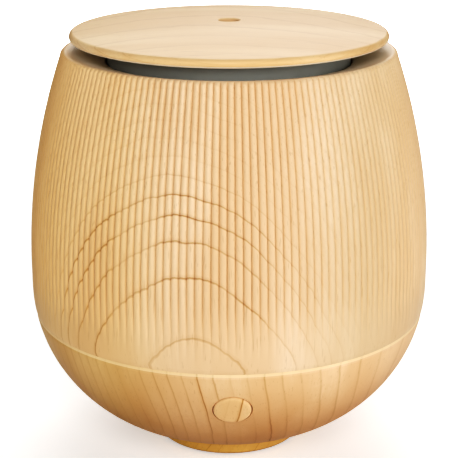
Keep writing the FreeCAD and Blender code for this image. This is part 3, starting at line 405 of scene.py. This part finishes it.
def wood(name, pith, lean, tones, strengths, seed=0.0, along="Z", attribute=None, first_ring=277.1,
         spacing=2.2, widening=0.0, line_width=1.0, clear_side=None, up_down_shade=0.0, painted_dish_light=False,
         painted_lip_highlight=False, painted_underside_light=False):
    """Solid wood: growth rings about a leaning pith, thin late-wood lines, fibres and pores.

    pith is where the growth axis crosses level 0, and lean how far it moves for each millimetre up.
    tones are (x, colour) pairs of the broad colour from left to right: the board's own tone with painted
    light and shade across the view on top of it.  strengths are (ring, strength) pairs.  A ring's line is
    about half of line_width across, and the lines fade over the clear_side stretch of x.  attribute names
    the coordinates of a reeded surface.  The remaining options paint shade and light into the colour.
    """
    s = Shader(name)
    place = s.position(attribute)
    parts = s.node("ShaderNodeSeparateXYZ", {"Vector": place}).outputs
    raw = place
    if along == "X":
        swapped = {"X": parts["Y"], "Y": parts["Z"], "Z": parts["X"]}
        raw = s.node("ShaderNodeCombineXYZ", swapped).outputs["Vector"]
    shifted = s.vector("ADD", raw, (seed * 37.0, seed * 11.0, seed * 23.0))

    broad = s.noise(shifted, (1, 1, 0.35), scale=0.03, detail=2.0).outputs["Color"]
    fine = s.noise(shifted, (1, 1, 0.6), scale=0.22, detail=3.0, roughness=0.55).outputs["Color"]
    broad_shift = s.vector("MULTIPLY", s.vector("SUBTRACT", broad, (0.5, 0.5, 0.5)), (3.0, 3.0, 3.0))
    fine_shift = s.vector("MULTIPLY", s.vector("SUBTRACT", fine, (0.5, 0.5, 0.5)), (0.55, 0.55, 0.55))
    warped = s.vector("ADD", raw, s.vector("ADD", broad_shift, fine_shift))

    away_x = s.math("SUBTRACT", s.vector("DOT_PRODUCT", warped, (1, 0, -lean[0])), pith[0])
    away_y = s.math("SUBTRACT", s.vector("DOT_PRODUCT", warped, (0, 1, -lean[1])), pith[1])
    squares = s.math("ADD", s.math("MULTIPLY", away_x, away_x), s.math("MULTIPLY", away_y, away_y))
    rings, pace = ring_phase(s, s.math("SQRT", squares), first_ring, spacing, widening)
    ring_number = s.math("FLOOR", s.math("ADD", rings, 0.5))
    off_line = s.math("DIVIDE", s.math("SUBTRACT", rings, ring_number), pace)

    line_shape = [(0.0, 0.0), (0.30, 0.0), (0.44, 0.22), (0.49, 1.0), (0.52, 0.7), (0.57, 0.0)]
    line_mask = s.ramp(s.math("MULTIPLY_ADD", off_line, 0.5 / line_width, 0.5), line_shape)
    patch = s.noise(shifted, (1, 1, 0.25), scale=0.07, detail=2.0).outputs["Fac"]
    patchy = s.clamped("MULTIPLY_ADD", patch, 2.4, -0.45)
    clearness = s.math("MULTIPLY", patchy, ring_strength(s, rings, strengths))
    line_amount = s.math("MULTIPLY", line_mask, clearness)
    if clear_side:
        fading = {"Value": parts["X"], "From Min": clear_side[0], "From Max": clear_side[1],
                  "To Min": 1.0, "To Max": 0.22}
        kept = s.node("ShaderNodeMapRange", fading).outputs["Result"]
        line_amount = s.math("MULTIPLY", line_amount, kept)

    # Broad tone across x: the wood's own colour with painted light and shade by side.
    across = s.math("MULTIPLY_ADD", parts["X"], 0.5 / BELLY_RADIUS, 0.5)
    light = s.ramp(across, [(0.5 + 0.5 * x / BELLY_RADIUS, colour) for x, colour in tones])
    deeper = s.mix(1.0, light, DEEPER, blend="MULTIPLY")
    year = [(0.0, 0.08), (0.12, 0.0), (0.6, 0.05), (0.97, 0.28), (1.0, 0.1)]
    late_wood = s.ramp(s.math("FRACT", rings), year)
    tone = s.noise(shifted, (1, 1, 0.12), scale=0.055, detail=3.0).outputs["Fac"]
    fibre = s.noise(shifted, (1, 1, 0.035), scale=1.1, detail=4.0, roughness=0.6).outputs["Fac"]
    pore_field = s.noise(shifted, (1, 1, 0.06), scale=2.2, detail=1.0).outputs["Fac"]
    pores = s.ramp(pore_field, [(0.0, 0.0), (0.64, 0.0), (0.74, 1.0)])

    body = s.mix(s.ramp(tone, [(0.36, 0.0), (0.64, 1.0)]), light, deeper)
    body = s.mix(s.math("MULTIPLY", late_wood, 0.8), body, deeper)
    body = s.mix(s.math("MULTIPLY", s.ramp(fibre, [(0.3, 1.0), (0.62, 0.0)]), 0.34), body, deeper)
    body = s.mix(s.math("MULTIPLY", pores, 0.16), body, PORE)
    body = s.mix(line_amount, body, RING_LINE)

    if attribute:
        # Painted shade in the reed valleys: deeper valleys get more, and it fades toward the right, where
        # the light falls.
        depth = s.node("ShaderNodeAttribute", attribute_name="valley").outputs["Fac"]
        light_side_range = {"Value": parts["X"], "From Min": 10.0, "From Max": 48.0, "To Min": 1.0, "To Max": 0.3}
        light_side_fade = s.node("ShaderNodeMapRange", light_side_range).outputs["Result"]
        valley_shade = s.math("MULTIPLY", s.ramp(depth, [(0.35, 0.0), (1.0, 0.55)]), light_side_fade)
        body = s.mix(valley_shade, body, VALLEY_SHADE, blend="MULTIPLY")
    if up_down_shade:
        # Painted shade: surfaces that face up or down are darkened, which darkens the undersides of the
        # bowl and foot.
        facing = s.node("ShaderNodeTexCoord").outputs["Normal"]
        facing_up_or_down = s.math("ABSOLUTE", s.vector("DOT_PRODUCT", facing, (0, 0, 1)))
        shaded = s.math("MULTIPLY", s.ramp(facing_up_or_down, [(0.12, 0.0), (0.85, 1.0)]), up_down_shade)
        body = s.mix(shaded, body, UP_DOWN_SHADE, blend="MULTIPLY")
    if painted_dish_light:
        # Painted light: the dish and rim under the lid are lightened, fully inside and fading out across
        # the rim.
        reach = s.vector("LENGTH", s.vector("MULTIPLY", place, (1, 1, 0)))
        outward = {"Value": reach, "From Min": DISH_LIGHT_RADIUS, "From Max": RIM_OUTER, "To Min": 0.8,
                   "To Max": 0.12}
        lightened = s.node("ShaderNodeMapRange", outward).outputs["Result"]
        high = s.math("GREATER_THAN", parts["Z"], DISH_LEVEL)
        top = s.math("MULTIPLY", high, s.math("LESS_THAN", reach, RIM_OUTER + 0.1))
        body = s.mix(s.math("MULTIPLY", top, lightened), body, PAINTED_LIGHT_TONE)
    if painted_underside_light:
        # The lid's underside is made pale so it throws light into the gap below, and the vent's wall gets
        # painted light.
        under = s.math("LESS_THAN", parts["Z"], LID_UNDERSIDE)
        vent = s.math("LESS_THAN", s.vector("LENGTH", s.vector("MULTIPLY", place, (1, 1, 0))), VENT_RADIUS)
        lightened = s.math("MAXIMUM", s.math("MULTIPLY", under, 0.8), s.math("MULTIPLY", vent, 0.15))
        body = s.mix(lightened, body, PAINTED_LIGHT_TONE)
    if painted_lip_highlight:
        # Painted highlight along the bowl's lip, just below the seam.
        lip = s.math("GREATER_THAN", parts["Z"], LIP_HIGHLIGHT_LEVEL)
        body = s.mix(s.math("MULTIPLY", lip, 0.5), body, LIP_HIGHLIGHT)

    relief = s.math("ADD", s.math("MULTIPLY", fibre, 0.6), s.math("MULTIPLY", pores, -0.5))
    return s.finish(
        Base_Color=body,
        Roughness=s.math("MULTIPLY_ADD", fibre, 0.16, 0.38),
        Specular_IOR_Level=0.3,
        Normal=s.bump(relief, 0.00006, 0.5),
    )


# ---------------------------------------------------------------- other materials


def plastic(name, colour, roughness, grain=0.00003, spots=6.0):
    """Moulded plastic: faint mottling and a fine spark-eroded texture."""
    s = Shader(name)
    place = s.position()
    mottle = s.noise(place, scale=0.15, detail=2.0).outputs["Fac"]
    texture = s.noise(place, scale=spots, detail=2.0).outputs["Fac"]
    deeper = tuple(channel * 0.95 for channel in colour)
    return s.finish(
        Base_Color=s.mix(s.ramp(mottle, [(0.35, 0.0), (0.65, 1.0)]), colour, deeper),
        Roughness=s.math("MULTIPLY_ADD", texture, 0.16, roughness - 0.08),
        Normal=s.bump(texture, grain, 0.6),
    )


def metal(name, colour, roughness, brush=(1, 1, 12)):
    """Metal with fine tool marks."""
    s = Shader(name)
    place = s.position()
    marks = s.noise(place, brush, scale=1.6, detail=3.0).outputs["Fac"]
    darker = tuple(channel * 0.7 for channel in colour)
    return s.finish(
        Base_Color=s.mix(s.ramp(marks, [(0.3, 0.0), (0.7, 1.0)]), colour, darker),
        Metallic=1.0,
        Roughness=s.math("MULTIPLY_ADD", marks, 0.2, roughness - 0.1),
        Normal=s.bump(marks, 0.00002, 0.4),
    )


def circuit_board(name):
    """Green solder mask over faintly raised copper tracks."""
    s = Shader(name)
    place = s.position()
    grid = {"Vector": place, "Scale": 0.45}
    cells = s.node("ShaderNodeTexVoronoi", grid, distance="MANHATTAN", feature="F1")
    tracks = s.ramp(cells.outputs["Distance"], [(0.42, 0.0), (0.46, 1.0), (0.54, 1.0), (0.58, 0.0)])
    return s.finish(
        Base_Color=s.mix(tracks, srgb(14, 82, 46), srgb(36, 122, 66)),
        Roughness=0.3,
        Normal=s.bump(tracks, 0.00004, 0.5),
    )


def winding(name):
    """Enamelled copper wire wound in fine turns."""
    s = Shader(name)
    place = s.position()
    wave = {"Vector": place, "Scale": 0.9, "Distortion": 0.4}
    turns = s.node("ShaderNodeTexWave", wave, bands_direction="Z").outputs["Fac"]
    return s.finish(
        Base_Color=s.mix(turns, srgb(120, 52, 24), srgb(206, 120, 62)),
        Metallic=0.8,
        Roughness=0.32,
        Normal=s.bump(turns, 0.0001, 0.8),
    )


# Base: bowl and foot are cut from one block, so they share its pith.
BASE_PITH = (-150.47, -16.71)
BASE_LEAN = (0.6305, 0.9401)
BASE_FIRST_RING = 142.0
BASE_SPACING = 4.0
BASE_SEED = 3.0
BASE_RINGS = [
    (-6, 0.3), (-3, 0.4), (-2, 0.45), (-1, 0.4), (0, 1.0), (1, 0.5), (2, 0.12),
    (3, 0.2), (4, 0.95), (5, 0.35), (6, 0.3), (8, 0.35), (12, 0.3),
]


def cover_wood():
    """Arches of growth rings at the front, clear on the left and fading on the right."""
    # Darker toward the left edge: painted shade on the side away from the light, over the wood's own tone.
    tones = [
        (-62, srgb(229, 192, 140)), (-38, srgb(240, 207, 163)), (-12, srgb(244, 215, 182)),
        (12, srgb(244, 216, 185)), (42, srgb(230, 204, 171)), (62, srgb(236, 206, 172)),
    ]
    rings = [
        (-8, 0.08), (-1, 0.10), (0, 0.28), (1, 0.78), (2, 0.82), (3, 0.66), (4, 0.74), (5, 0.50),
        (6, 0.4), (10, 0.3),
    ]
    return wood("cover_wood", (27.15, 238.64), (0.341, -0.297), tones, rings, attribute="grain",
                widening=0.0145, clear_side=(8.0, 26.0), painted_dish_light=True)


def bowl_wood():
    """Steep streaks with two strong ones, painted shade underneath, and a painted highlight along the lip.
    """
    # Darker toward the left: painted shade on the side away from the light, over the wood's own tone.
    tones = [
        (-60, srgb(218, 181, 124)), (-38, srgb(227, 192, 138)), (-10, srgb(243, 209, 171)),
        (40, srgb(246, 211, 174)),
    ]
    return wood("bowl_wood", BASE_PITH, BASE_LEAN, tones, BASE_RINGS, seed=BASE_SEED,
                first_ring=BASE_FIRST_RING, spacing=BASE_SPACING, line_width=2.3, up_down_shade=1.0,
                painted_lip_highlight=True)


def foot_wood():
    """The foot's yellower wood, darker than the bowl's: partly painted shade under the belly."""
    tones = [(-25, srgb(234, 194, 120)), (25, srgb(232, 193, 126))]
    return wood("foot_wood", BASE_PITH, BASE_LEAN, tones, BASE_RINGS, seed=BASE_SEED,
                first_ring=BASE_FIRST_RING, spacing=BASE_SPACING, up_down_shade=1.0)


def lid_wood():
    """Faint, even rings lying along the lid, a pale underside and painted light on the vent's wall."""
    # Lighter toward the left: painted light over the wood's own tone.
    tones = [(-50, srgb(248, 218, 176)), (-10, srgb(239, 205, 160)), (50, srgb(238, 205, 162))]
    return wood("lid_wood", (30.0, -90.0), (0.05, 0.03), tones, [(-20, 0.25), (20, 0.25)], seed=5.0,
                along="X", first_ring=220.0, painted_underside_light=True)


def button_wood():
    """A cap from another board: one dark streak leans across it, right of its middle."""
    tones = [(-10, srgb(240, 204, 161)), (10, srgb(242, 206, 164))]
    rings = [(-3, 0.0), (-1, 0.08), (0, 1.0), (1, 0.05), (3, 0.0)]
    return wood("button_wood", (-36.0, -60.0), (0.19, 0.0), tones, rings, seed=7.0, first_ring=32.0,
                spacing=4.0, line_width=2.6)


MATERIALS = {
    "wood_cover": cover_wood(),
    "wood_bowl": bowl_wood(),
    "wood_lid": lid_wood(),
    "wood_foot": foot_wood(),
    "dark_grey_plastic": plastic("collar_grey", srgb(172, 176, 174), 0.6),
    "white_plastic": plastic("white_polypropylene", srgb(232, 232, 228), 0.42),
    "black_plastic": plastic("black_moulding", srgb(38, 38, 40), 0.5),
    "rubber": plastic("pad_rubber", srgb(44, 44, 44), 0.8, grain=0.00006, spots=3.0),
    "silicone": plastic("silicone", srgb(206, 206, 200), 0.5),
    "steel": metal("plated_steel", srgb(196, 196, 198), 0.34),
    "brass": metal("turned_brass", srgb(212, 172, 96), 0.3),
    "copper": winding("copper_winding"),
    "aluminium": metal("aluminium", srgb(206, 208, 210), 0.4),
    "transducer_metal": metal("transducer_metal", srgb(206, 194, 160), 0.3, brush=(4, 4, 1)),
    "circuit_green": circuit_board("circuit_board"),
    "ferrite": plastic("ferrite", srgb(62, 62, 66), 0.6),
    "lead_red": plastic("red_insulation", srgb(176, 40, 32), 0.4),
    "lead_black": plastic("black_insulation", srgb(34, 34, 34), 0.4),
}


def dress_frame():
    """Give every CAD node the finish of its record slot."""
    for subpart in frame["record"]["subparts"]:
        node = frame["nodes"][subpart["node"]]
        node.data.materials.clear()
        node.data.materials.append(MATERIALS[subpart["material_slot"]])


def add_piece(piece, body, node, material):
    """Hang a detailed piece on its body in place of a CAD node."""
    piece.data.materials.append(material)
    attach(piece, body)
    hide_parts(node)


# ---------------------------------------------------------------- stage

FILM_SPEED = 0.686
FILM_CONTRAST = 2.0
FILM_WHITE = 1.42

LIGHT_SIZE = 0.7
ORBIT = math.radians(-1.0)
CAMERA_DISTANCE = 0.4476
CAMERA_HEIGHT = 0.2146
CAMERA_TILT = math.radians(17.81)


def make_floor():
    """Large pale floor at the level of the rubber feet, glowing to white away from the object."""
    mesh_data = bmesh.new()
    bmesh.ops.create_grid(mesh_data, x_segments=4, y_segments=4, size=6.0)
    floor = finish_mesh("floor", mesh_data)
    s = Shader("pale_floor")
    seen = s.node("ShaderNodeLightPath").outputs["Is Camera Ray"]
    place = s.position()
    mottle = s.noise(place, scale=0.01, detail=2.0).outputs["Fac"]
    away = s.vector("LENGTH", place)
    rise = {"Value": away, "From Min": 200.0, "From Max": 900.0, "To Min": 0.38, "To Max": 1.6}
    glow = s.node("ShaderNodeMapRange", rise, interpolation_type="SMOOTHSTEP").outputs["Result"]
    s.finish(
        Base_Color=s.mix(mottle, srgb(253, 253, 252), srgb(250, 250, 249)),
        Roughness=0.95,
        Specular_IOR_Level=0.0,
        Emission_Color=(1.0, 1.0, 1.0),
        Emission_Strength=s.math("MULTIPLY", seen, glow),
    )
    floor.data.materials.append(s.material)


def area_light(name, place, target, size, power):
    """A soft round white light aimed at a point."""
    data = bpy.data.lights.new(name, "AREA")
    data.shape = "DISK"
    data.size = size
    data.energy = power
    light = bpy.data.objects.new(name, data)
    light.location = place
    light.rotation_euler = (Vector(target) - Vector(place)).to_track_quat("-Z", "Y").to_euler()
    bpy.context.scene.collection.objects.link(light)


def make_lights():
    """Soft front light, a low one at the right, a big one behind, and weak ones overhead and back left."""
    middle = (0, 0, 0.07)
    area_light("front", (0.0, -1.05, 0.54), middle, LIGHT_SIZE, 8.4)
    area_light("right", (1.07, -0.39, 0.25), middle, LIGHT_SIZE, 3.9)
    area_light("back_left", (-0.95, 0.50, 0.42), middle, LIGHT_SIZE, 0.8)
    area_light("overhead", (0.0, 0.1, 1.2), middle, 0.8, 1.5)
    area_light("window", (0.1, 0.87, 0.75), middle, 0.9, 7.2)


def make_world():
    """Pale surroundings: white where the camera sees them, and weaker as a light."""
    world = bpy.data.worlds.new("studio")
    world.use_nodes = True
    tree = world.node_tree
    seen = tree.nodes.new("ShaderNodeLightPath").outputs["Is Camera Ray"]
    strength = tree.nodes.new("ShaderNodeMapRange")
    strength.inputs["To Min"].default_value = 0.08
    strength.inputs["To Max"].default_value = 1.0
    background = tree.nodes["Background"]
    background.inputs["Color"].default_value = (1, 1, 1, 1)
    tree.links.new(seen, strength.inputs["Value"])
    tree.links.new(strength.outputs["Result"], background.inputs["Strength"])
    bpy.context.scene.world = world


def film(light):
    """Film density curve: shadows deepen and warm, highlights roll off to white."""
    exposed = (light / FILM_SPEED) ** FILM_CONTRAST
    return FILM_WHITE * exposed / (1 + exposed)


def set_film_response():
    """Show the scene through the film curve."""
    view = bpy.context.scene.view_settings
    view.view_transform = "Standard"
    view.use_curve_mapping = True
    curve = view.curve_mapping.curves[3]
    for light in (0.05, 0.1, 0.2, 0.3, 0.4, 0.55, 0.75):
        curve.points.new(light, film(light))
    view.curve_mapping.update()


def make_camera():
    """The viewing angle: in front, above the lid, looking down at the button side."""
    data = bpy.data.cameras.new("camera")
    data.sensor_width = 36.0
    data.lens = 111.8
    camera = bpy.data.objects.new("camera", data)
    across, along = CAMERA_DISTANCE * math.sin(ORBIT), -CAMERA_DISTANCE * math.cos(ORBIT)
    camera.location = (across, along, CAMERA_HEIGHT)
    camera.rotation_euler = (math.pi / 2 - CAMERA_TILT, 0, ORBIT)
    bpy.context.scene.collection.objects.link(camera)
    bpy.context.scene.camera = camera


make_camera()
dress_frame()
add_piece(make_cover(), "cover", "ribbed_shell", MATERIALS["wood_cover"])
add_piece(make_button(), "button", "button_cap", button_wood())
make_floor()
make_lights()
make_world()
set_film_response()
